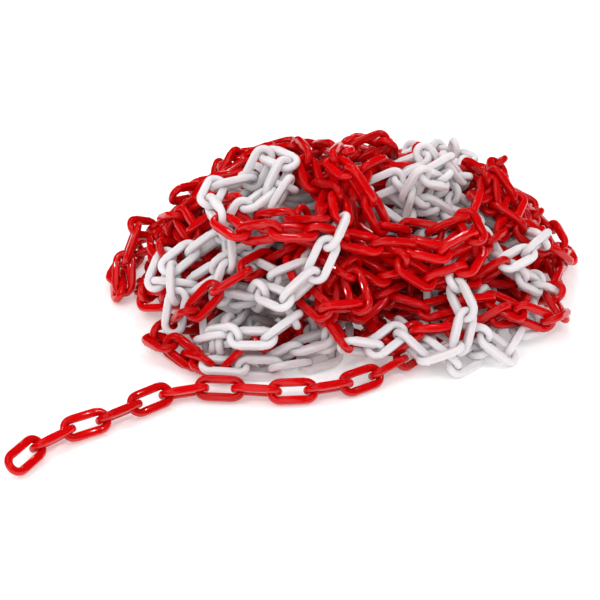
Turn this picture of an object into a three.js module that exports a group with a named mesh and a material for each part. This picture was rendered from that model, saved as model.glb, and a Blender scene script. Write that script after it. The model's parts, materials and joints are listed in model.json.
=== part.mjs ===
// A 25 m length of red and white plastic barrier chain, let down in a loose heap with its free
// end drawn out along the floor. Millimetres, +Z up, floor at z = 0.
//
// The free end is made link by link: link_01 is the last link and link_13 is the one that the
// heap holds. Every link hangs in its neighbour's window and is turned a quarter turn from it.
// The piled part is made run by run: the chain is moulded in runs of one colour, and each run
// is a tube along the run's own route that holds as much plastic as the run's links do.
import * as THREE from 'three';
import { mergeVertices } from 'three/addons/utils/BufferGeometryUtils.js';

// ---------------------------------------------------------------- driving dimensions
const LINK_LENGTH = 40.0;
const LINK_WIDTH = 20.2;
const LINK_THICKNESS = 6.0;
const BAR_WIDTH = 6.3; // the straight bars, measured across the link
const CROWN_WIDTH = 5.7; // the round ends, measured along the link
const CONTACT_GAP = 0.8; // play between two links that hang in each other
const PITCH = LINK_LENGTH - 2 * CROWN_WIDTH - CONTACT_GAP;

const RED_RUN_LINKS = 24; // links moulded in one colour
const WHITE_RUN_LINKS = 16;
const RUN_COUNT = 45; // red and white in turn; the first one ends in the free end
const FREE_LINKS = 13;
const RUN_RADIUS = 6.0; // six-sided tube with the plastic of the links in it
const RUN_SIDES = 6;

const RED = new THREE.Color(0.72, 0.02, 0.03);
const WHITE = new THREE.Color(0.86, 0.82, 0.8);

// The heap on the floor: an oval that is longer from front left to back right.
const HEAP_CENTRE = new THREE.Vector2(50, 34);
const HEAP_HALF_LENGTH = 230;
const HEAP_HALF_WIDTH = 176;
const HEAP_TURN = 0.65; // radians from +X
const PEAK = new THREE.Vector2(-5, 30);
const PEAK_HEIGHT = 146;
const SLOPE_POWER = 2.3;

// Where white tends to lie on the near side of the heap: middle x, middle y and radius.
const WHITE_PATCHES = [
  new THREE.Vector3(-140, -50, 28),
  new THREE.Vector3(-75, -75, 35),
  new THREE.Vector3(-50, -20, 38),
  new THREE.Vector3(-10, 0, 38),
  new THREE.Vector3(-38, -110, 32),
  new THREE.Vector3(15, -115, 35),
  new THREE.Vector3(85, -10, 35),
  new THREE.Vector3(130, 28, 38),
  new THREE.Vector3(100, -112, 32),
  new THREE.Vector3(140, -98, 30),
  new THREE.Vector3(180, -37, 28),
];

// The free end on the floor, from its last link towards the heap.
const FREE_END = new THREE.Vector2(-199.413, -231.744);
const HEADINGS = [62, 44, 30, 38, 38, 16, -4, -6, 4, 16, 32, 44, 50]; // degrees, one per link
const LEAN = Math.PI / 4; // links on a floor lean to either side in turn

// ---- laying and settling the heap
const SEED = 4049;
const MAP_CELL = 5;
const MAP_SIZE = 120; // cells along each side of the floor map
const GRID_SIZE = 100; // boxes along each side of the grid that finds strands near each other
const STRAND_SPACING = 15.5; // between the middles of strands that touch
const RAISE_RADIUS = 0.6 * STRAND_SPACING; // how far to either side of a link the next one rises
const RAISE_STEPS = 4;
const FREE_LINK_SPACING = 17.5; // the same against a link of the free end
const NEIGHBOUR_LINKS = 2; // links of one strand that may come nearer than that
const MAX_FOLD = 1.25; // radians between one link and the next
const MAX_TURN = 1.05; // radians of heading, link to link, as the chain is laid
const TURN_CHOICES = 5; // to either side
const LOOK_AHEAD = 2; // links
const RANDOM_COST = 60;
const OUTSIDE_COST = 400;
const COLOUR_COST = 100;
const RIM_LIMIT = 0.95;
const HAND_COST = 1.2; // per millimetre past its reach
const HAND_REACH = 50; // how far from under the hand the chain falls
const HAND_SWEEPS = new THREE.Vector2(5, 6); // there and back over the heap, each way
const HAND_START = 0.95;
const HAND_SPAN = 0.62; // of the heap's half length and half width
const STEEPEST_STEP = 18;
const LYING_LAG = 2;
const KEPT_CLEAR = 400; // how far below the floor the chain would have to lie to fall there
const OPEN_LINKS = 11; // links of the free end with nothing of the heap before them
const FREE_END_BERTH = 23;
const SETTLE_ROUNDS = 260;
const PASSES = 3; // over all links, in one round
const FALLING_PART = 0.7;
const FALL_STEP = 0.5;
const GRIP = 0.6;
const ANCHOR_CROWN = CROWN_WIDTH + 1.5 * CONTACT_GAP; // what the held link's crown takes up

// ---------------------------------------------------------------- one link
// The section is a rectangle with cut corners, eight sides in all: wide flats on the bars,
// eight nearly equal sides round the crowns.
const BAR_CHAMFER = 1.2;
const CROWN_CHAMFER = 2.0;
const CROWN_STEPS = 6;
const FLAT_START = 1.2; // where the flats of a bar begin, past the end of its crown

function crownRing(angle) {
  const width = BAR_WIDTH - (BAR_WIDTH - CROWN_WIDTH) * Math.cos(angle);
  const radius = (LINK_WIDTH - width) / 2;
  return {
    x: LINK_LENGTH / 2 - LINK_WIDTH / 2 + radius * Math.cos(angle),
    y: radius * Math.sin(angle),
    angle,
    halfWidth: width / 2,
    chamfer: CROWN_CHAMFER,
  };
}

function barRing(x, side) {
  return {
    x,
    y: (side * (LINK_WIDTH - BAR_WIDTH)) / 2,
    angle: (side * Math.PI) / 2,
    halfWidth: BAR_WIDTH / 2,
    chamfer: BAR_CHAMFER,
  };
}

// Half of a link's rings: the crown at +X, then the start and end of the bar that follows it.
function halfLinkRings() {
  const rings = [];
  for (let step = 0; step <= CROWN_STEPS; step += 1) {
    rings.push(crownRing(-Math.PI / 2 + (Math.PI * step) / CROWN_STEPS));
  }
  const flatEnd = LINK_LENGTH / 2 - LINK_WIDTH / 2 - FLAT_START;
  rings.push(barRing(flatEnd, 1), barRing(-flatEnd, 1));
  return rings;
}

function turnedHalfRound(ring) {
  return { ...ring, x: -ring.x, y: -ring.y, angle: ring.angle + Math.PI };
}

// One of the section's corners, counted from the outer side of the link: x outwards, y up.
function sectionCorner({ halfWidth, chamfer }, corner) {
  const halfThickness = LINK_THICKNESS / 2;
  const outward = Math.cos(((corner + 0.5) * Math.PI) / 4) > 0 ? 1 : -1;
  const upward = Math.sin(((corner + 0.5) * Math.PI) / 4) > 0 ? 1 : -1;
  const onSide = corner % 4 === 0 || corner % 4 === 3;
  const x = onSide ? halfWidth : halfWidth - chamfer;
  const y = onSide ? halfThickness - chamfer : halfThickness;
  return new THREE.Vector2(outward * x, upward * y);
}

function linkGeometry() {
  const half = halfLinkRings();
  const rings = [...half, ...half.map(turnedHalfRound)];
  const corners = 8;
  const geometry = new THREE.TorusGeometry(1, 0.5, corners, rings.length);
  const position = geometry.attributes.position;
  const perRow = rings.length + 1;
  for (let index = 0; index < position.count; index += 1) {
    const ring = rings[(index % perRow) % rings.length];
    const corner = sectionCorner(ring, Math.floor(index / perRow) % corners);
    position.setXYZ(
      index,
      ring.x + corner.x * Math.cos(ring.angle),
      ring.y + corner.x * Math.sin(ring.angle),
      corner.y,
    );
  }
  return closedBody(geometry);
}

function closedBody(geometry) {
  geometry.deleteAttribute('normal');
  geometry.deleteAttribute('uv');
  const body = mergeVertices(geometry, 1e-4);
  body.computeVertexNormals();
  return body;
}

// ---------------------------------------------------------------- the free end
// Each link's local X runs along it towards the heap, local Y across its window and local Z
// along its thickness. A bend between two links is shared: the heap's side link turns half of
// it and the outer link the rest, so that the wire of each stays in the middle of the other.
function linkTurn(number, heading) {
  const lean = number % 2 === 1 ? LEAN : -LEAN;
  const yaw = new THREE.Quaternion().setFromAxisAngle(new THREE.Vector3(0, 0, 1), heading);
  return yaw.multiply(new THREE.Quaternion().setFromAxisAngle(new THREE.Vector3(1, 0, 0), lean));
}

function direction(turn) {
  return new THREE.Vector3(1, 0, 0).applyQuaternion(turn);
}

function placeFreeLinks() {
  const headings = HEADINGS.map(THREE.MathUtils.degToRad);
  const restHeight = restingHeight();
  const wireToCentre = (LINK_LENGTH - CROWN_WIDTH) / 2;
  const wireToWire = CROWN_WIDTH + CONTACT_GAP;
  const links = [];
  const centre = new THREE.Vector3(FREE_END.x, FREE_END.y, 0);
  for (let number = 1; number <= FREE_LINKS; number += 1) {
    const turn = linkTurn(number, headings[number - 1]);
    links.push({ number, turn, centre: centre.clone() });
    if (number < FREE_LINKS) {
      const nextTurn = linkTurn(number + 1, headings[number]);
      const between = sharedBend(turn, nextTurn);
      centre.addScaledVector(direction(turn), wireToCentre - wireToWire);
      centre.addScaledVector(between, wireToWire);
      centre.addScaledVector(direction(nextTurn), wireToCentre - wireToWire);
    }
  }
  const lift = restHeight - Math.min(...links.map((link) => link.centre.z));
  for (const link of links) link.centre.z += lift;
  return links;
}

// The way from one wire to the other: this link's direction, swung in the plane of the next.
function sharedBend(turn, nextTurn) {
  const nextNormal = new THREE.Vector3(0, 0, 1).applyQuaternion(nextTurn);
  const along = direction(turn);
  return along.addScaledVector(nextNormal, -along.dot(nextNormal)).normalize();
}

// Half the height of a leaning link, so that its lowest bar touches the floor.
function restingHeight() {
  const geometry = linkGeometry();
  geometry.applyQuaternion(new THREE.Quaternion().setFromAxisAngle(new THREE.Vector3(1, 0, 0), LEAN));
  geometry.computeBoundingBox();
  return -geometry.boundingBox.min.z;
}

// ---------------------------------------------------------------- the shape of the heap
// How far a point of the floor lies from the heap's centre, as a fraction of the rim.
function rimFraction(x, y) {
  const dx = x - HEAP_CENTRE.x;
  const dy = y - HEAP_CENTRE.y;
  const long = (dx * Math.cos(HEAP_TURN) + dy * Math.sin(HEAP_TURN)) / HEAP_HALF_LENGTH;
  const wide = (dy * Math.cos(HEAP_TURN) - dx * Math.sin(HEAP_TURN)) / HEAP_HALF_WIDTH;
  return Math.hypot(long, wide);
}

// How far the rim lies from the peak in one direction.
function rimDistance(ux, uy) {
  let inside = 0;
  let outside = 2 * HEAP_HALF_LENGTH;
  while (outside - inside > 1) {
    const middle = (inside + outside) / 2;
    if (rimFraction(PEAK.x + ux * middle, PEAK.y + uy * middle) < 1) inside = middle;
    else outside = middle;
  }
  return inside;
}

// Height of the finished heap over a point of the floor, below zero outside it.
function heapHeight(x, y) {
  const away = Math.max(Math.hypot(x - PEAK.x, y - PEAK.y), 1);
  const rim = rimDistance((x - PEAK.x) / away, (y - PEAK.y) / away);
  return PEAK_HEIGHT * (1 - (away / rim) ** SLOPE_POWER);
}

// A map of the floor in square cells.
class FloorMap {
  constructor(valueAt) {
    this.cells = new Float64Array(MAP_SIZE * MAP_SIZE);
    for (let row = 0; row < MAP_SIZE; row += 1) {
      for (let column = 0; column < MAP_SIZE; column += 1) {
        const x = HEAP_CENTRE.x + (column - MAP_SIZE / 2) * MAP_CELL;
        const y = HEAP_CENTRE.y + (row - MAP_SIZE / 2) * MAP_CELL;
        this.cells[row * MAP_SIZE + column] = valueAt(x, y);
      }
    }
  }

  index(x, y) {
    const column = Math.round((x - HEAP_CENTRE.x) / MAP_CELL + MAP_SIZE / 2);
    const row = Math.round((y - HEAP_CENTRE.y) / MAP_CELL + MAP_SIZE / 2);
    return clamp(row, 0, MAP_SIZE - 1) * MAP_SIZE + clamp(column, 0, MAP_SIZE - 1);
  }

  at(x, y) {
    return this.cells[this.index(x, y)];
  }

  raise(x, y, radius, value) {
    for (let dy = -radius; dy <= radius; dy += MAP_CELL) {
      for (let dx = -radius; dx <= radius; dx += MAP_CELL) {
        if (Math.hypot(dx, dy) > radius) continue;
        const index = this.index(x + dx, y + dy);
        this.cells[index] = Math.max(this.cells[index], value);
      }
    }
  }
}

function clamp(value, low, high) {
  return Math.min(Math.max(value, low), high);
}

// Repeatable random numbers between 0 and 1.
function randomNumbers(seed) {
  let state = seed;
  return () => {
    state = (state * 1664525 + 1013904223) % 4294967296;
    return state / 4294967296;
  };
}

// ---------------------------------------------------------------- laying the chain
// The chain is let down joint by joint. Each link turns towards whatever side of the heap is
// lowest against its finished height, and lies on what is already there. None falls on the
// free end or in front of it, and each colour keeps to its own patches where it can.
function layRoute(start, startHeading, count, freeLinks) {
  const random = randomNumbers(SEED);
  const finished = new FloorMap((x, y) => (besideFreeEnd(x, y, freeLinks) ? heapHeight(x, y) : -KEPT_CLEAR));
  const lying = new FloorMap(() => RUN_RADIUS);
  const joints = [start.clone()];
  let heading = startHeading;
  for (let number = 1; number <= count; number += 1) {
    const from = joints[number - 1];
    const costAt = placeCost(number / count, isWhiteLink(number + FREE_LINKS), lying, finished);
    if (number > 1) heading += bestTurn(from, heading, costAt, random);
    const to = from.clone();
    to.x += PITCH * Math.cos(heading);
    to.y += PITCH * Math.sin(heading);
    const middle = from.clone().lerp(to, 0.5);
    to.z = Math.max(lying.at(to.x, to.y), lying.at(middle.x, middle.y), from.z - STEEPEST_STEP);
    joints.push(to);
    if (number > LYING_LAG) raiseUnder(lying, joints[number - LYING_LAG - 1], joints[number - LYING_LAG]);
  }
  return joints;
}

// The number of the last link of a run, counted from the free end.
function lastLink(run) {
  return Math.ceil(run / 2) * RED_RUN_LINKS + Math.floor(run / 2) * WHITE_RUN_LINKS;
}

function isWhiteLink(number) {
  return (number - 1) % (RED_RUN_LINKS + WHITE_RUN_LINKS) >= RED_RUN_LINKS;
}

function inWhitePatch(x, y) {
  return WHITE_PATCHES.some((patch) => Math.hypot(x - patch.x, y - patch.y) < patch.z);
}

// Whether the heap may lie on a point of the floor: clear of the free end, and not before it.
function besideFreeEnd(x, y, freeLinks) {
  const away = ({ centre }) => Math.hypot(x - centre.x, y - centre.y);
  const nearest = freeLinks.reduce((best, link) => (away(link) < away(best) ? link : best));
  if (away(nearest) < FREE_END_BERTH) return false;
  const along = direction(nearest.turn);
  const behind = along.x * (y - nearest.centre.y) - along.y * (x - nearest.centre.x) > 0;
  return behind || nearest.number > OPEN_LINKS;
}

// What lies on a link from now on lies a strand's spacing above it.
function raiseUnder(lying, from, to) {
  for (let step = 0; step <= RAISE_STEPS; step += 1) {
    const point = from.clone().lerp(to, step / RAISE_STEPS);
    lying.raise(point.x, point.y, RAISE_RADIUS, point.z + STRAND_SPACING);
  }
}

// An even sweep from side to side, between -1 and 1.
function sweep(cycles) {
  return (2 / Math.PI) * Math.asin(Math.sin(2 * Math.PI * cycles));
}

// Where the hand that lets the chain down is, over the floor.
function handPlace(progress) {
  const long = HAND_SPAN * HEAP_HALF_LENGTH * sweep(HAND_SWEEPS.x * progress);
  const wide = HAND_SPAN * HEAP_HALF_WIDTH * sweep(HAND_SWEEPS.y * progress + HAND_START);
  return new THREE.Vector2(long, wide).rotateAround(new THREE.Vector2(), HEAP_TURN).add(HEAP_CENTRE);
}

// What it costs to lay a link at a place of the floor, in millimetres of missing room.
function placeCost(progress, isWhite, lying, finished) {
  const hand = handPlace(progress);
  return (x, y) => {
    const room = progress * finished.at(x, y) - lying.at(x, y);
    const outside = Math.max(rimFraction(x, y) - RIM_LIMIT, 0);
    const astray = Math.max(Math.hypot(x - hand.x, y - hand.y) - HAND_REACH, 0);
    const wrongColour = isWhite === inWhitePatch(x, y) ? 0 : 1;
    return OUTSIDE_COST * outside + HAND_COST * astray + COLOUR_COST * wrongColour - room;
  };
}

function bestTurn(from, heading, costAt, random) {
  let best = 0;
  let lowestCost = Infinity;
  for (let choice = -TURN_CHOICES; choice <= TURN_CHOICES; choice += 1) {
    const turn = (MAX_TURN * choice) / TURN_CHOICES;
    const place = new THREE.Vector2(from.x, from.y);
    let cost = RANDOM_COST * random();
    for (let ahead = 1; ahead <= LOOK_AHEAD; ahead += 1) {
      place.x += PITCH * Math.cos(heading + ahead * turn);
      place.y += PITCH * Math.sin(heading + ahead * turn);
      cost += costAt(place.x, place.y) / LOOK_AHEAD;
    }
    if (cost < lowestCost) {
      lowestCost = cost;
      best = turn;
    }
  }
  return best;
}

// ---------------------------------------------------------------- letting the chain settle
// Joints move under gravity while links keep their pitch, strands keep apart, no joint folds
// past its limit and nothing goes through the floor. Rubbing takes up most sideways motion.
function settle(joints, fixedPoints) {
  const count = joints.length;
  const pinned = fixedPoints.length;
  const points = [...fixedPoints, ...joints].map((point) => point.clone());
  const before = points.map((point) => point.clone());
  for (let round = 0; round < SETTLE_ROUNDS; round += 1) {
    const fall = round < SETTLE_ROUNDS * FALLING_PART ? FALL_STEP : 0;
    const grip = round < SETTLE_ROUNDS * FALLING_PART ? GRIP : 0;
    for (let index = pinned + 1; index < points.length; index += 1) {
      before[index].copy(points[index]);
      points[index].z -= fall;
    }
    const pairs = nearStrands(points, pinned);
    for (let pass = 0; pass < PASSES; pass += 1) {
      for (const [first, second] of pairs) pushStrandsApart(points, first, second, pinned);
      for (let index = pinned + 1; index < points.length - 1; index += 1) {
        limitFold(points[index - 1], points[index + 1], index - 1 > pinned);
      }
      for (let index = pinned; index < points.length - 1; index += 1) {
        keepPitch(points[index], points[index + 1], index > pinned);
      }
      for (let index = pinned + 1; index < points.length; index += 1) {
        points[index].z = Math.max(points[index].z, RUN_RADIUS);
      }
    }
    for (let index = pinned + 1; index < points.length; index += 1) {
      points[index].x += (before[index].x - points[index].x) * grip;
      points[index].y += (before[index].y - points[index].y) * grip;
    }
  }
  return points.slice(pinned, pinned + count);
}

function keepPitch(from, to, fromMoves) {
  moveApart(from, to, PITCH - from.distanceTo(to), fromMoves);
}

function limitFold(from, to, fromMoves) {
  const shortest = 2 * PITCH * Math.cos(MAX_FOLD / 2);
  const missing = shortest - from.distanceTo(to);
  if (missing > 0) moveApart(from, to, missing, fromMoves);
}

function moveApart(from, to, distance, fromMoves) {
  const away = to.clone().sub(from).normalize();
  if (fromMoves) from.addScaledVector(away, -distance / 2);
  to.addScaledVector(away, fromMoves ? distance / 2 : distance);
}

// Pairs of strands near enough to touch, found through a grid of boxes.
function nearStrands(points, pinned) {
  const size = PITCH + STRAND_SPACING;
  const boxes = new Map();
  const pairs = [];
  const middleBox = GRID_SIZE / 2;
  const boxKey = (x, y, z) => ((x + middleBox) * GRID_SIZE + y + middleBox) * GRID_SIZE + z + middleBox;
  for (let index = 0; index < points.length - 1; index += 1) {
    const middle = points[index].clone().add(points[index + 1]).multiplyScalar(0.5 / size).floor();
    for (let dx = -1; dx <= 1; dx += 1) {
      for (let dy = -1; dy <= 1; dy += 1) {
        for (let dz = -1; dz <= 1; dz += 1) {
          for (const other of boxes.get(boxKey(middle.x + dx, middle.y + dy, middle.z + dz)) ?? []) {
            if (index >= pinned && index - other > NEIGHBOUR_LINKS) pairs.push([other, index]);
          }
        }
      }
    }
    const key = boxKey(middle.x, middle.y, middle.z);
    if (!boxes.has(key)) boxes.set(key, []);
    boxes.get(key).push(index);
  }
  return pairs;
}

function pushStrandsApart(points, first, second, pinned) {
  const [a, b, c, d] = [points[first], points[first + 1], points[second], points[second + 1]];
  const [s, t] = closestPlaces(a, b, c, d);
  const gapX = c.x + (d.x - c.x) * t - a.x - (b.x - a.x) * s;
  const gapY = c.y + (d.y - c.y) * t - a.y - (b.y - a.y) * s;
  const gapZ = c.z + (d.z - c.z) * t - a.z - (b.z - a.z) * s;
  const distance = Math.max(Math.hypot(gapX, gapY, gapZ), 1e-6);
  const spacing = first < pinned ? FREE_LINK_SPACING : STRAND_SPACING;
  const missing = spacing - distance;
  if (missing <= 0) return;
  const firstShare = first < pinned ? 0 : 0.5;
  const shares = [
    [a, first > pinned, -firstShare * (1 - s)],
    [b, first >= pinned, -firstShare * s],
    [c, second > pinned, (1 - firstShare) * (1 - t)],
    [d, true, (1 - firstShare) * t],
  ];
  const push = missing / distance;
  for (const [point, moves, share] of shares) {
    if (!moves) continue;
    point.x += gapX * push * share;
    point.y += gapY * push * share;
    point.z += gapZ * push * share;
  }
}

// Where two links come closest, as fractions of their lengths.
function closestPlaces(a, b, c, d) {
  const ux = b.x - a.x;
  const uy = b.y - a.y;
  const uz = b.z - a.z;
  const vx = d.x - c.x;
  const vy = d.y - c.y;
  const vz = d.z - c.z;
  const wx = a.x - c.x;
  const wy = a.y - c.y;
  const wz = a.z - c.z;
  const uu = ux * ux + uy * uy + uz * uz;
  const vv = vx * vx + vy * vy + vz * vz;
  const uv = ux * vx + uy * vy + uz * vz;
  const uw = ux * wx + uy * wy + uz * wz;
  const vw = vx * wx + vy * wy + vz * wz;
  const spread = Math.max(uu * vv - uv * uv, 1e-9);
  const s = clamp((uv * vw - vv * uw) / spread, 0, 1);
  const t = clamp((vw + uv * s) / vv, 0, 1);
  return [clamp((uv * t - uw) / uu, 0, 1), t];
}

// ---------------------------------------------------------------- the runs in the heap
// The stretch of the chain's route that one run takes, with one place along it for each joint.
class RunRoute extends THREE.Curve {
  constructor(joints, first, last) {
    super();
    this.joints = joints;
    this.first = first;
    this.last = last;
  }

  jointAt(fraction) {
    return this.first + Math.round(fraction * (this.last - this.first));
  }

  // The two ends are drawn back from what the run hangs in.
  getPointAt(fraction, target = new THREE.Vector3()) {
    const joint = this.jointAt(fraction);
    const tangent = this.getTangentAt(fraction);
    target.copy(this.joints[joint]);
    if (joint === this.first) target.addScaledVector(tangent, joint === 0 ? ANCHOR_CROWN : CONTACT_GAP / 2);
    if (joint === this.last) target.addScaledVector(tangent, -CONTACT_GAP / 2);
    return target;
  }

  // Midway between the links on either side, so that the ends of two runs face each other.
  getTangentAt(fraction, target = new THREE.Vector3()) {
    const joint = this.jointAt(fraction);
    const arriving = this.joints[Math.max(joint, 1) - 1];
    const leaving = this.joints[Math.min(joint + 1, this.joints.length - 1)];
    const here = this.joints[joint];
    const before = here.clone().sub(arriving).normalize();
    return target.copy(leaving).sub(here).normalize().add(before).normalize();
  }
}

function runGeometry(route, firstJoint, lastJoint) {
  const corners = [];
  for (let side = 0; side < RUN_SIDES; side += 1) {
    const angle = (2 * Math.PI * side) / RUN_SIDES;
    corners.push(new THREE.Vector2(RUN_RADIUS * Math.cos(angle), RUN_RADIUS * Math.sin(angle)));
  }
  const section = new THREE.Shape(corners);
  const extrudePath = new RunRoute(route, firstJoint, lastJoint);
  const steps = lastJoint - firstJoint;
  return closedBody(new THREE.ExtrudeGeometry(section, { steps, extrudePath }));
}

// ---------------------------------------------------------------- the whole chain
function plastic(color, roughness) {
  return new THREE.MeshStandardMaterial({ color, roughness, metalness: 0 });
}

const chain = new THREE.Group();
const red = plastic(RED, 0.3);
const white = plastic(WHITE, 0.35);

const freeLinks = placeFreeLinks();
for (const { number, turn, centre } of freeLinks) {
  const link = new THREE.Mesh(linkGeometry(), red);
  link.name = `link_${String(number).padStart(2, '0')}`;
  link.quaternion.copy(turn);
  link.position.copy(centre);
  chain.add(link);
}

const anchor = freeLinks[FREE_LINKS - 1];
const routeStart = anchor.centre.clone().addScaledVector(direction(anchor.turn), PITCH / 2);
const routeLinks = lastLink(RUN_COUNT) - FREE_LINKS;
const routeHeading = THREE.MathUtils.degToRad(HEADINGS[FREE_LINKS - 1]);
const laid = layRoute(routeStart, routeHeading, routeLinks, freeLinks);
const freeRoute = [...freeLinks.map(({ centre }) => centre), laid[0]];
const route = [laid[0], ...settle(laid.slice(1), freeRoute)];

let firstJoint = 0;
for (let number = 1; number <= RUN_COUNT; number += 1) {
  const lastJoint = lastLink(number) - FREE_LINKS;
  const isRed = number % 2 === 1;
  const run = new THREE.Mesh(runGeometry(route, firstJoint, lastJoint), isRed ? red : white);
  run.name = `${isRed ? 'red' : 'white'}_run_${String(Math.ceil(number / 2)).padStart(2, '0')}`;
  chain.add(run);
  firstJoint = lastJoint;
}

// The origin is on the floor, under the middle of the whole chain.
const box = new THREE.Box3().setFromObject(chain);
const middle = box.getCenter(new THREE.Vector3());
chain.position.set(-middle.x, -middle.y, -box.min.z);

export default chain;
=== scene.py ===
"""A heap of red and white plastic barrier chain with its free end drawn out.

The CAD frame gives each free link its exact place and gives the heap as tubes, one for each
run of one colour. This script moulds every link of the chain: the free ones where the frame
has them, and those of a run strung along its tube, then let fall and pushed apart as rigid
rings. Metres, +Z up, floor at z = 0.
"""

import json
import math

import bpy
import numpy as np
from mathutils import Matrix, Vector

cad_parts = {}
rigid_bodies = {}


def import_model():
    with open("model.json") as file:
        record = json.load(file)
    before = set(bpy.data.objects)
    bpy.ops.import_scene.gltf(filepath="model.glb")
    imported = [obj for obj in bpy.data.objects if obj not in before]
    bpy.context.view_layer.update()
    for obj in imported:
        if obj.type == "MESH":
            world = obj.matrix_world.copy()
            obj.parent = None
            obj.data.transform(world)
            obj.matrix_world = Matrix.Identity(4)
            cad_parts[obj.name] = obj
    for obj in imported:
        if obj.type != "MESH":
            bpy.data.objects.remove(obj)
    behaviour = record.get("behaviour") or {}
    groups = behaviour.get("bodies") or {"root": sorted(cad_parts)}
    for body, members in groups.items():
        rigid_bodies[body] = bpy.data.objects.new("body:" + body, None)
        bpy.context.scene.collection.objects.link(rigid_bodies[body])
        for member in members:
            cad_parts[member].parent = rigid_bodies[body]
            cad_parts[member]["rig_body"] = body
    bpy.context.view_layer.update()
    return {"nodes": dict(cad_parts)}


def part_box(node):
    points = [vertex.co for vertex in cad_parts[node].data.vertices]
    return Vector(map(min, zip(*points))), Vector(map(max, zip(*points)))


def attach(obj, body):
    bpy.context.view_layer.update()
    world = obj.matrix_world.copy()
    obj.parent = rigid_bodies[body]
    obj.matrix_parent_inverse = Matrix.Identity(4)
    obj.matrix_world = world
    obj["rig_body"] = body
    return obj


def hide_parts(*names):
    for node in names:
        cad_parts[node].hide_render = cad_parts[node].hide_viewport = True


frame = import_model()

MM = 0.001
SEED = 7

# ---------------------------------------------------------------- the moulded link
BAR_WIDTH = 6.3 * MM  # the straight bars, measured across the link
CROWN_WIDTH = 5.7 * MM  # the round ends, measured along the link
BAR_ROUNDING = 1.4 * MM  # radius of the bars' long edges
CROWN_ROUNDING = 2.6 * MM
CROWN_STEPS = 12
CORNER_STEPS = 3
SEAM_HEIGHT = 0.12 * MM  # the line where the two halves of the mould meet
SEAM_HALF_WIDTH = 0.3 * MM
FLAT_START = 1.2 * MM  # where a bar's flats begin, past the end of its crown

# ---------------------------------------------------------------- stringing and settling
TWIST = math.radians(9)  # how unevenly each link hangs in the one before
CRUMPLE = 9 * MM  # how far the joints between links are knocked about
CRUMPLE_PASSES = 30
BEADS = 24  # balls along a link's wire that stand for it while the heap settles
WIRE = 6.4 * MM  # how far apart the middles of two wires are pushed
FLOOR_REACH = 3.5 * MM  # how high above the floor the middle of a wire is pushed
SETTLE_ROUNDS = 2000
SEARCH_EVERY = 6  # rounds between two searches for wires that touch
SEARCH_MARGIN = 2.4 * MM
FALL = 0.04 * MM  # per round, while the links still fall
FALLING_PART = 0.35  # share of the rounds in which they do
SLACK = 12 * MM  # how far a link may leave its place along the run
RECALL = 0.1  # share of what it is past that, taken back in one round
PUSH = 1.8  # share of each overlap undone in one round, before it is shared out
PUSHES_SHARED = 0.5  # a link's pushes are divided by this share of their number
MOST_SHIFT = 1.2 * MM  # in one round
MOST_TURN = 0.12  # in one round, in radians
TURNING_RADIUS = 11.8 * MM  # of gyration, end over end
ROLLING_RADIUS = 6.6 * MM  # of gyration, about the link's length
LEAST_GAP = 0.01 * MM  # these three only keep divisions away from zero
LEAST_GIVE = 1e-6
LEAST_MOVE = 1e-9

# ---------------------------------------------------------------- the plastics' skin
# Every scale is in waves to the metre, and every range is cut out of noise from 0 to 1.
FLOW_SCALE = 70  # the marks the melt left as it ran into the mould
FLOW_RANGE = (0.35, 0.75)
FLOW_STRENGTH = 0.35
SCUFF_SCALE = 420
SCUFF_DETAIL = 4.0
SCUFF_ROUGHNESS = 0.65
SCUFF_RANGE = (0.6, 0.72)
SCUFF_STRENGTH = 0.3
POLISH_SCALE = 160
POLISH_DETAIL = 3.0
POLISH_SPREAD = 0.08  # how much rougher the dullest places are
WAVE_SCALE = 180  # the slight waves in the skin
WAVE_HEIGHT = 0.06 * MM
PLASTIC_IOR = 1.49


# ================================================================ reading the frame
def mesh_array(items, field, width, kind=float):
    """One field of a mesh's vertices, edges or faces, a row for each."""
    values = np.zeros(len(items) * width, kind)
    items.foreach_get(field, values)
    return values.reshape(-1, width)


def node_corners(node):
    """The different corners of a CAD node, and which of them each mesh vertex is."""
    vertices = mesh_array(frame["nodes"][node].data.vertices, "co", 3)
    corners, which = np.unique(np.round(vertices, 7), axis=0, return_inverse=True)
    return corners, which.reshape(-1)


def link_place(node):
    """Centre of a CAD link and its axes as columns: along it, across its window, through it."""
    corners, _ = node_corners(node)
    centre = corners.mean(axis=0)
    axes = np.linalg.eigh(np.cov((corners - centre).T))[1][:, ::-1]
    axes[:, 2] = np.cross(axes[:, 0], axes[:, 1])
    return centre, axes


def link_size(node):
    """Length, width and thickness of a CAD link."""
    centre, axes = link_place(node)
    corners, _ = node_corners(node)
    return 2 * np.abs((corners - centre) @ axes).max(axis=0)


LINK_NODES = sorted(name for name in frame["nodes"] if name.startswith("link_"))
LENGTH, WIDTH, THICKNESS = link_size(LINK_NODES[0])
LONGEST_RING_EDGE = LENGTH / 3  # a tube's edges along it are longer


def run_nodes():
    """The heap's runs in the order of the chain, red and white in turn."""
    names = [name for name in frame["nodes"] if "_run_" in name]
    return sorted(names, key=lambda name: (name[-2:], name.startswith("white")))


def tube_joints(node, start):
    """Middles of a tube's rings in order, from the end of the tube that is nearer to start."""
    corners, which = node_corners(node)
    edges = which[mesh_array(frame["nodes"][node].data.edges, "vertices", 2, np.int32)]
    length = np.linalg.norm(corners[edges[:, 0]] - corners[edges[:, 1]], axis=1)
    ring = joined_groups(len(corners), edges[length < LONGEST_RING_EDGE])
    middles = np.array([corners[ring == number].mean(axis=0) for number in range(ring.max() + 1)])
    along_tube = edges[length >= LONGEST_RING_EDGE]
    return middles[ring_order(middles, ring[along_tube], start)]


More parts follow.
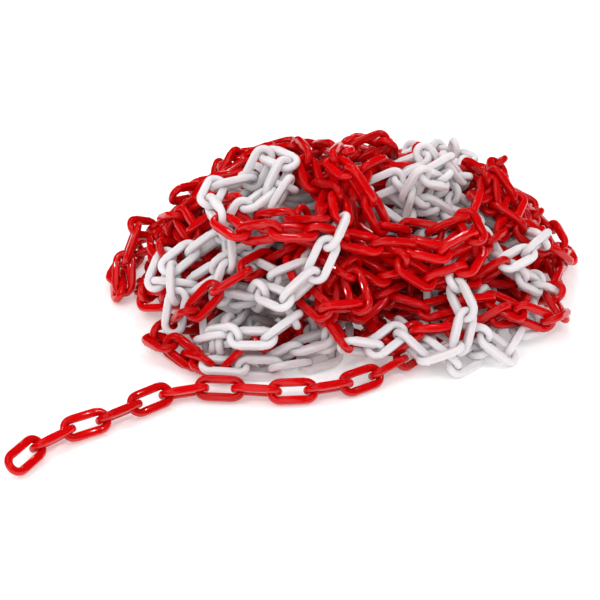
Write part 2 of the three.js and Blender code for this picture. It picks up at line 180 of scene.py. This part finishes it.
def joined_groups(count, pairs):
    """A group number for each of count things, the same for things that pairs join."""
    group = np.arange(count)
    while np.ptp(group[pairs], axis=1).any():
        lowest = group[pairs].min(axis=1)
        np.minimum.at(group, pairs[:, 0], lowest)
        np.minimum.at(group, pairs[:, 1], lowest)
    return np.unique(group, return_inverse=True)[1]


def ring_order(middles, joined, start):
    """Numbers of a tube's rings from one end to the other, given which rings are joined."""
    beside = [set() for _ in middles]
    for first, second in joined:
        beside[first].add(second)
        beside[second].add(first)
    ends = [ring for ring, others in enumerate(beside) if len(others) == 1]
    order = [min(ends, key=lambda ring: np.linalg.norm(middles[ring] - start))]
    while len(order) < len(middles):
        order.append(next(ring for ring in beside[order[-1]] if ring not in order[-2:]))
    return order


def unit(vectors):
    """Vectors made one long, row by row."""
    return vectors / np.sqrt((vectors * vectors).sum(axis=-1, keepdims=True))


def read_route():
    """Joints of the piled chain from the held link on, and how many links each run has."""
    held, _ = link_place(LINK_NODES[-1])
    end = held
    runs = []
    for node in run_nodes():
        runs.append(tube_joints(node, end))
        end = runs[-1][-1]
    pitch = np.median(np.linalg.norm(np.diff(runs[1], axis=0), axis=1))
    towards = unit(runs[0][0] - held)
    joints = [held + towards * pitch / 2, *runs[0][1:-1]]
    for before, after in zip(runs, runs[1:]):
        joints.append((before[-1] + after[0]) / 2)
        joints.extend(after[1:-1])
    joints.append(runs[-1][-1])
    return np.array(joints), [len(run) - 1 for run in runs]


# ================================================================ stringing the links
def crumpled(joints, random):
    """The route with its joints knocked about, and the distances between them kept."""
    pitch = np.linalg.norm(np.diff(joints, axis=0), axis=1, keepdims=True)
    moved = joints + random.normal(0, CRUMPLE, joints.shape)
    for number in range(CRUMPLE_PASSES):
        first = np.arange(number % 2, len(joints) - 1, 2)
        step = moved[first + 1] - moved[first]
        length = np.linalg.norm(step, axis=1, keepdims=True)
        pull = step * (1 - pitch[first] / length) / 2
        moved[first] += pull
        moved[first + 1] -= pull
        moved[0] = joints[0]
    return moved


def strung_links(joints, random):
    """Centres and axes of the links between joints, each a quarter turn from the one before."""
    centres = (joints[1:] + joints[:-1]) / 2
    along = unit(np.diff(joints, axis=0))
    _, held_axes = link_place(LINK_NODES[-1])
    across = held_axes[:, 1]
    axes = np.zeros((len(centres), 3, 3))
    for number, direction in enumerate(along):
        flat = unit(across - direction * (across @ direction))
        side = np.cross(direction, flat)
        lean = random.normal(0, TWIST)
        across = math.cos(lean) * side + math.sin(lean) * flat
        axes[number] = np.array([direction, across, np.cross(direction, across)]).T
    return centres, axes


def wire_beads():
    """Points spaced evenly along the middle of a link's wire, in the link's own axes."""
    radius = (WIDTH - (BAR_WIDTH + CROWN_WIDTH) / 2) / 2
    half_bar = (LENGTH - WIDTH) / 2
    lap = 4 * half_bar + 2 * math.pi * radius
    beads = []
    for number in range(BEADS):
        place = lap * (number + 0.5) / BEADS
        side = 1 if place < lap / 2 else -1
        place %= lap / 2
        if place < 2 * half_bar:
            beads.append((side * (half_bar - place), side * radius, 0))
        else:
            angle = (place - 2 * half_bar) / radius
            x = -half_bar - radius * math.sin(angle)
            beads.append((side * x, side * radius * math.cos(angle), 0))
    return np.array(beads)


def placed(points, centres, axes):
    """Points of a link's own axes at each of many links: one block of rows for each link."""
    turned = sum(points[None, :, None, k] * axes[:, None, :, k] for k in range(3))
    return centres[:, None, :] + turned


# ================================================================ settling the heap
def near_pairs(points, owner, reach):
    """Pairs of beads of different links that are nearer than reach, found through a grid."""
    cell = np.floor(points / reach).astype(np.int64)
    cell -= cell.min(axis=0) - 1
    size = cell.max(axis=0) + 2
    key = (cell[:, 0] * size[1] + cell[:, 1]) * size[2] + cell[:, 2]
    order = np.argsort(key, kind="stable")
    key = key[order]
    number = np.arange(len(key))
    side = (-1, 0, 1)
    steps = [(dx * size[1] + dy) * size[2] + dz for dx in side for dy in side for dz in side]
    found = []
    for step in (step for step in steps if step >= 0):
        low = np.searchsorted(key, key + step, "left") if step else number + 1
        high = np.searchsorted(key, key + step, "right")
        count = np.maximum(high - low, 0)
        first = np.repeat(number, count)
        second = np.arange(len(first)) - np.repeat(np.cumsum(count) - count - low, count)
        first, second = order[first], order[second]
        gap = points[first] - points[second]
        near = ((gap * gap).sum(axis=1) < reach * reach) & (owner[first] != owner[second])
        found.append(np.stack([first[near], second[near]]))
    return np.concatenate(found, axis=1)


class Heap:
    """All links as rigid rings of beads. Those of the free end stay where they are."""

    def __init__(self, centres, axes, loose):
        self.centres = centres.copy()
        self.axes = axes.copy()
        self.homes = centres.copy()
        self.loose = loose.astype(float)
        self.own_beads = wire_beads()
        self.owner = np.repeat(np.arange(len(centres)), BEADS)
        self.pairs = None

    def beads(self):
        return placed(self.own_beads, self.centres, self.axes).reshape(-1, 3)

    def start_round(self):
        self.shift = np.zeros_like(self.centres)
        self.turn = np.zeros_like(self.centres)
        self.touches = np.zeros(len(self.centres))

    def spin(self, link, arm, normal):
        """How a push along normal at the end of arm turns a link, for one unit of push."""
        moment = np.cross(arm, normal)
        length = self.axes[link, :, 0]
        rolling = (moment * length).sum(axis=1, keepdims=True)
        easier_roll = 1 / ROLLING_RADIUS**2 - 1 / TURNING_RADIUS**2
        return moment, moment / TURNING_RADIUS**2 + easier_roll * rolling * length

    def give(self, link, arm, normal):
        """How far a link's bead moves for one unit of push, and how the link turns for it."""
        moment, spin = self.spin(link, arm, normal)
        return self.loose[link] * (1 + (moment * spin).sum(axis=1)), spin

    def add(self, link, push, normal, spin):
        """Takes note of pushes on links, which end_round() carries out."""
        count = len(self.centres)
        for axis in range(3):
            self.shift[:, axis] += np.bincount(link, push * normal[:, axis], count)
            self.turn[:, axis] += np.bincount(link, push * spin[:, axis], count)
        self.touches += np.bincount(link, minlength=count)

    def part_wires(self, points):
        first, second = self.pairs
        gap = points[second] - points[first]
        distance = np.sqrt((gap * gap).sum(axis=1))
        touching = distance < WIRE
        first, second = first[touching], second[touching]
        distance = distance[touching]
        normal = gap[touching] / np.maximum(distance, LEAST_GAP)[:, None]
        a, b = self.owner[first], self.owner[second]
        give_a, spin_a = self.give(a, points[first] - self.centres[a], normal)
        give_b, spin_b = self.give(b, points[second] - self.centres[b], normal)
        push = PUSH * (WIRE - distance) / np.maximum(give_a + give_b, LEAST_GIVE)
        self.add(a, -push * self.loose[a], normal, spin_a)
        self.add(b, push * self.loose[b], normal, spin_b)

    def stay_on_floor(self, points):
        low = np.flatnonzero(points[:, 2] < FLOOR_REACH)
        link = self.owner[low]
        up = np.tile((0.0, 0.0, 1.0), (len(low), 1))
        give, spin = self.give(link, points[low] - self.centres[link], up)
        depth = FLOOR_REACH - points[low, 2]
        push = PUSH * depth * self.loose[link] / np.maximum(give, LEAST_GIVE)
        self.add(link, push, up, spin)

    def end_round(self):
        share = 1 / np.maximum(PUSHES_SHARED * self.touches, 1)[:, None]
        self.centres += limited(self.shift * share, MOST_SHIFT)
        turn = limited(self.turn * share, MOST_TURN)
        for column in range(3):
            self.axes[:, :, column] += np.cross(turn, self.axes[:, :, column])
        along = unit(self.axes[:, :, 0])
        across = self.axes[:, :, 1]
        across = unit(across - along * (across * along).sum(axis=1, keepdims=True))
        self.axes = np.stack([along, across, np.cross(along, across)], axis=2)

    def stay_near_home(self):
        away = self.centres - self.homes
        distance = np.sqrt((away * away).sum(axis=1, keepdims=True))
        excess = np.maximum(distance - SLACK, 0) / np.maximum(distance, MM)
        self.centres -= RECALL * excess * away

    def settle(self, rounds):
        for number in range(rounds):
            if number < rounds * FALLING_PART:
                self.centres[:, 2] -= FALL * self.loose
            points = self.beads()
            if number % SEARCH_EVERY == 0:
                self.pairs = near_pairs(points, self.owner, WIRE + SEARCH_MARGIN)
            self.start_round()
            self.part_wires(points)
            self.stay_on_floor(points)
            self.end_round()
            self.stay_near_home()


def limited(moves, most):
    """Moves cut down to the most that one may be."""
    size = np.sqrt((moves * moves).sum(axis=1, keepdims=True))
    return moves * np.minimum(1, most / np.maximum(size, LEAST_MOVE))


# ================================================================ the link's shape
def section(width, rounding):
    """The wire's section, anticlockwise: first outwards of the link, then upwards."""
    half_width = width / 2
    half_thickness = THICKNESS / 2
    corners = [
        (half_width, -SEAM_HALF_WIDTH),
        (half_width + SEAM_HEIGHT, 0),
        (half_width, SEAM_HALF_WIDTH),
    ]
    for quarter in range(4):
        sign_x = 1 if quarter in (0, 3) else -1
        sign_y = 1 if quarter in (0, 1) else -1
        for step in range(CORNER_STEPS + 1):
            angle = math.pi / 2 * (quarter + step / CORNER_STEPS)
            x = sign_x * (half_width - rounding) + rounding * math.cos(angle)
            y = sign_y * (half_thickness - rounding) + rounding * math.sin(angle)
            corners.append((x, y))
    return corners


def crown_ring(angle):
    """One ring of the wire round the crown at +X: middle, outward angle and section."""
    width = BAR_WIDTH - (BAR_WIDTH - CROWN_WIDTH) * math.cos(angle)
    radius = (WIDTH - SEAM_HEIGHT * 2 - width) / 2
    x = (LENGTH - WIDTH) / 2 + radius * math.cos(angle)
    return x, radius * math.sin(angle), angle, section(width, CROWN_ROUNDING)


def bar_ring(x):
    """One ring of the wire on the bar at +Y."""
    y = (WIDTH - SEAM_HEIGHT * 2 - BAR_WIDTH) / 2
    return x, y, math.pi / 2, section(BAR_WIDTH, BAR_ROUNDING)


def link_shape():
    """Vertices and faces of one link, in its own axes."""
    rings = [crown_ring(math.pi * (step / CROWN_STEPS - 0.5)) for step in range(CROWN_STEPS + 1)]
    flat_end = (LENGTH - WIDTH) / 2 - FLAT_START
    rings += [bar_ring(flat_end), bar_ring(0), bar_ring(-flat_end)]
    vertices = []
    for turn in (0, math.pi):
        for x, y, angle, corners in rings:
            for out, up in corners:
                px = x + out * math.cos(angle)
                py = y + out * math.sin(angle)
                vertices.append((math.cos(turn) * px, math.cos(turn) * py, up))
    around = len(rings[0][3])
    count = len(rings) * 2
    faces = []
    for ring in range(count):
        for corner in range(around):
            here = ring * around + corner
            beside = ring * around + (corner + 1) % around
            onward = (ring + 1) % count * around
            faces.append((here, beside, onward + (corner + 1) % around, onward + corner))
    return np.array(vertices), np.array(faces)


def add_object(name, data):
    """A new object of the scene."""
    thing = bpy.data.objects.new(name, data)
    bpy.context.scene.collection.objects.link(thing)
    return thing


def moulded_piece(name, centres, axes, material, random):
    """One mesh of links with smooth faces, and a shade of its own for each link."""
    vertices, faces = link_shape()
    count = len(centres)
    points = placed(vertices, centres, axes).reshape(-1, 3)
    corners = (faces[None] + len(vertices) * np.arange(count)[:, None, None]).reshape(-1)
    mesh = bpy.data.meshes.new(name)
    mesh.vertices.add(len(points))
    mesh.vertices.foreach_set("co", points.ravel())
    mesh.loops.add(len(corners))
    mesh.loops.foreach_set("vertex_index", corners.astype(np.int32))
    mesh.polygons.add(len(faces) * count)
    mesh.polygons.foreach_set("loop_start", np.arange(0, len(corners), 4, dtype=np.int32))
    mesh.polygons.foreach_set("use_smooth", np.ones(len(faces) * count, bool))
    mesh.update(calc_edges=True)
    shade = mesh.attributes.new("shade", "FLOAT", "POINT")
    shade.data.foreach_set("value", np.repeat(random.random(count), len(vertices)))
    mesh.materials.append(material)
    return add_object(name, mesh)


# ================================================================ materials
MIX_FIRST, MIX_SECOND, MIX_RESULT = 6, 7, 2  # a mix node's sockets that carry colour


class Nodes:
    """A short way to write a material's node tree."""

    def __init__(self, name):
        self.material = bpy.data.materials.new(name)
        self.material.use_nodes = True
        self.tree = self.material.node_tree
        self.shader = self.tree.nodes["Principled BSDF"]

    def add(self, kind, **settings):
        node = self.tree.nodes.new(kind)
        for key, value in settings.items():
            setattr(node, key, value)
        return node

    def link(self, source, target):
        self.tree.links.new(source, target)

    def noise(self, scale, detail=2.0, roughness=0.5):
        place = self.add("ShaderNodeTexCoord")
        noise = self.add("ShaderNodeTexNoise")
        self.link(place.outputs["Object"], noise.inputs["Vector"])
        noise.inputs["Scale"].default_value = scale
        noise.inputs["Detail"].default_value = detail
        noise.inputs["Roughness"].default_value = roughness
        return noise.outputs["Fac"]

    def ramp(self, value, low, high):
        """value stretched so that low becomes 0 and high becomes 1."""
        node = self.add("ShaderNodeMapRange")
        node.inputs["From Min"].default_value = low
        node.inputs["From Max"].default_value = high
        self.link(value, node.inputs["Value"])
        return node.outputs["Result"]

    def spread(self, value, low, high):
        """value from 0 to 1 turned into low to high."""
        node = self.add("ShaderNodeMapRange")
        node.inputs["To Min"].default_value = low
        node.inputs["To Max"].default_value = high
        self.link(value, node.inputs["Value"])
        return node.outputs["Result"]

    def mix(self, share, first, second):
        node = self.add("ShaderNodeMix", data_type="RGBA")
        self.link(share, node.inputs["Factor"])
        for number, colour in ((MIX_FIRST, first), (MIX_SECOND, second)):
            socket = node.inputs[number]
            if isinstance(colour, tuple):
                socket.default_value = (*colour, 1)
            else:
                self.link(colour, socket)
        return node.outputs[MIX_RESULT]

    def bump(self, height, distance):
        node = self.add("ShaderNodeBump")
        node.inputs["Distance"].default_value = distance
        node.inputs["Strength"].default_value = 1.0
        self.link(height, node.inputs["Height"])
        self.link(node.outputs["Normal"], self.shader.inputs["Normal"])


def moulded_plastic(name, dark, bright, worn, gloss, shine, glow, glow_reach):
    """Through-coloured plastic: each link its own shade, with flow marks, scuffs and a wavy skin."""
    nodes = Nodes(name)
    shade = nodes.add("ShaderNodeAttribute", attribute_name="shade")
    colour = nodes.mix(shade.outputs["Fac"], dark, bright)
    flow = nodes.ramp(nodes.noise(FLOW_SCALE), *FLOW_RANGE)
    colour = nodes.mix(nodes.spread(flow, 0.0, FLOW_STRENGTH), colour, bright)
    scratches = nodes.noise(SCUFF_SCALE, SCUFF_DETAIL, SCUFF_ROUGHNESS)
    scuffs = nodes.ramp(scratches, *SCUFF_RANGE)
    colour = nodes.mix(nodes.spread(scuffs, 0.0, SCUFF_STRENGTH), colour, worn)
    nodes.link(colour, nodes.shader.inputs["Base Color"])
    dullness = nodes.noise(POLISH_SCALE, POLISH_DETAIL)
    polish = nodes.spread(dullness, gloss, gloss + POLISH_SPREAD)
    nodes.link(polish, nodes.shader.inputs["Roughness"])
    nodes.bump(nodes.noise(WAVE_SCALE), WAVE_HEIGHT)
    nodes.shader.inputs["IOR"].default_value = PLASTIC_IOR
    nodes.shader.inputs["Specular IOR Level"].default_value = shine
    nodes.shader.inputs["Subsurface Weight"].default_value = glow
    nodes.shader.inputs["Subsurface Radius"].default_value = glow_reach
    nodes.shader.inputs["Subsurface Scale"].default_value = 1.0
    return nodes.material


def red_plastic():
    return moulded_plastic(
        "red_plastic",
        dark=(0.46, 0.0004, 0.001),
        bright=(0.62, 0.0007, 0.002),
        worn=(0.56, 0.01, 0.016),
        gloss=0.07,
        shine=0.4,
        glow=0.12,
        glow_reach=(2.0 * MM, 0.3 * MM, 0.3 * MM),
    )


def white_plastic():
    return moulded_plastic(
        "white_plastic",
        dark=(0.64, 0.612, 0.628),
        bright=(0.71, 0.682, 0.7),
        worn=(0.59, 0.555, 0.57),
        gloss=0.16,
        shine=0.25,
        glow=0.8,
        glow_reach=(7.0 * MM, 5.5 * MM, 5.4 * MM),
    )


def floor_material():
    nodes = Nodes("pale_floor")
    colour = nodes.mix(nodes.noise(FLOOR_MOTTLE), FLOOR_DARK, FLOOR_PALE)
    nodes.link(colour, nodes.shader.inputs["Base Color"])
    nodes.shader.inputs["Roughness"].default_value = FLOOR_ROUGHNESS
    nodes.shader.inputs["Emission Color"].default_value = (1, 1, 1, 1)
    nodes.shader.inputs["Emission Strength"].default_value = FLOOR_GLOW
    return nodes.material


# ================================================================ the chain
def make_free_links(material, random):
    """The free end's links, exactly where the frame has them."""
    for node in LINK_NODES:
        centre, axes = link_place(node)
        piece = moulded_piece(f"{node}_moulding", centre[None], axes[None], material, random)
        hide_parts(node)
        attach(piece, frame["nodes"][node]["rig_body"])


def settled_links(random):
    """Centres and axes of the piled links, and how many links each run has."""
    joints, run_lengths = read_route()
    centres, axes = strung_links(crumpled(joints, random), random)
    places = [link_place(node) for node in LINK_NODES]
    held_centres = np.array([centre for centre, _ in places])
    held_axes = np.array([turned for _, turned in places])
    heap = Heap(
        np.concatenate([centres, held_centres]),
        np.concatenate([axes, held_axes]),
        np.arange(len(centres) + len(places)) < len(centres),
    )
    heap.settle(SETTLE_ROUNDS)
    return heap.centres[: len(centres)], heap.axes[: len(centres)], run_lengths


def make_runs(materials, random):
    """Every run's links, strung and settled, one piece for each run."""
    centres, axes, run_lengths = settled_links(random)
    first = 0
    for node, length in zip(run_nodes(), run_lengths):
        slot = f"{node.split('_')[0]}_plastic"
        these = slice(first, first + length)
        piece = moulded_piece(f"{node}_links", centres[these], axes[these], materials[slot], random)
        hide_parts(node)
        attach(piece, "heap")
        first += length


# ================================================================ floor, light and camera
FLOOR_SIZE = 12.0
FLOOR_DARK = (0.86, 0.86, 0.86)
FLOOR_PALE = (0.9, 0.9, 0.9)
FLOOR_MOTTLE = 3  # waves to the metre
FLOOR_ROUGHNESS = 0.6
FLOOR_GLOW = 0.25  # a little light from below, as on a light table
WORLD_LIGHT = 0.9
SKY_WIDTH = math.radians(40)  # how wide the sky lights are, as seen from the chain
CAMERA_ELEVATION = math.radians(30.2)
CAMERA_DISTANCE = 1.352
CAMERA_LENS = 96  # mm, on a 36 mm sensor
AIM_FROM_END_LINK = Vector((0.1958, 0.2378, 0))  # to what the camera looks at


def make_floor():
    mesh = bpy.data.meshes.new("floor")
    half = FLOOR_SIZE / 2
    corners = [(-half, -half, 0), (half, -half, 0), (half, half, 0), (-half, half, 0)]
    mesh.from_pydata(corners, [], [(0, 1, 2, 3)])
    mesh.materials.append(floor_material())
    add_object("floor", mesh)


def aim_point():
    low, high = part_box(LINK_NODES[0])
    aim = (low + high) / 2 + AIM_FROM_END_LINK
    aim.z = 0
    return aim


def face(thing, target):
    thing.rotation_mode = "QUATERNION"
    thing.rotation_quaternion = (target - thing.location).to_track_quat("-Z", "Y")


def make_camera():
    camera = add_object("camera", bpy.data.cameras.new("camera"))
    back = Vector((0, -math.cos(CAMERA_ELEVATION), math.sin(CAMERA_ELEVATION)))
    camera.location = aim_point() + back * CAMERA_DISTANCE
    camera.data.lens = CAMERA_LENS
    face(camera, aim_point())
    bpy.context.scene.camera = camera
    bpy.context.scene.view_settings.view_transform = "Standard"


def soft_light(name, place, width, depth, power):
    light = add_object(name, bpy.data.lights.new(name, "AREA"))
    light.location = place
    light.data.shape = "RECTANGLE"
    light.data.size = width
    light.data.size_y = depth
    light.data.energy = power
    face(light, aim_point())


def sky_light(name, place, strength):
    """Light from far away, so that the floor is lit evenly."""
    light = add_object(name, bpy.data.lights.new(name, "SUN"))
    light.location = place
    light.data.angle = SKY_WIDTH
    light.data.energy = strength
    face(light, aim_point())


def make_world():
    world = bpy.data.worlds.new("studio")
    bpy.context.scene.world = world
    world.use_nodes = True
    background = world.node_tree.nodes["Background"]
    background.inputs["Color"].default_value = (1, 1, 1, 1)
    background.inputs["Strength"].default_value = WORLD_LIGHT
    world.cycles_visibility.glossy = False  # only the lamps and the floor show in the gloss


def make_lights():
    sky_light("ceiling", place=(-0.5, -0.2, 2.0), strength=0.26)
    sky_light("front", place=(-0.2, -1.5, 1.2), strength=0.4)
    soft_light("left_box", place=(-1.0, -0.8, 1.2), width=0.07, depth=0.07, power=3.5)
    soft_light("right_box", place=(0.8, -0.6, 1.4), width=0.06, depth=0.06, power=3)
    soft_light("back_strip", place=(0.1, 1.1, 1.4), width=0.5, depth=0.04, power=4)
    make_world()


make_floor()
make_camera()
make_lights()
dice = np.random.default_rng(SEED)
plastics = {"red_plastic": red_plastic(), "white_plastic": white_plastic()}
make_free_links(plastics["red_plastic"], dice)
make_runs(plastics, dice)
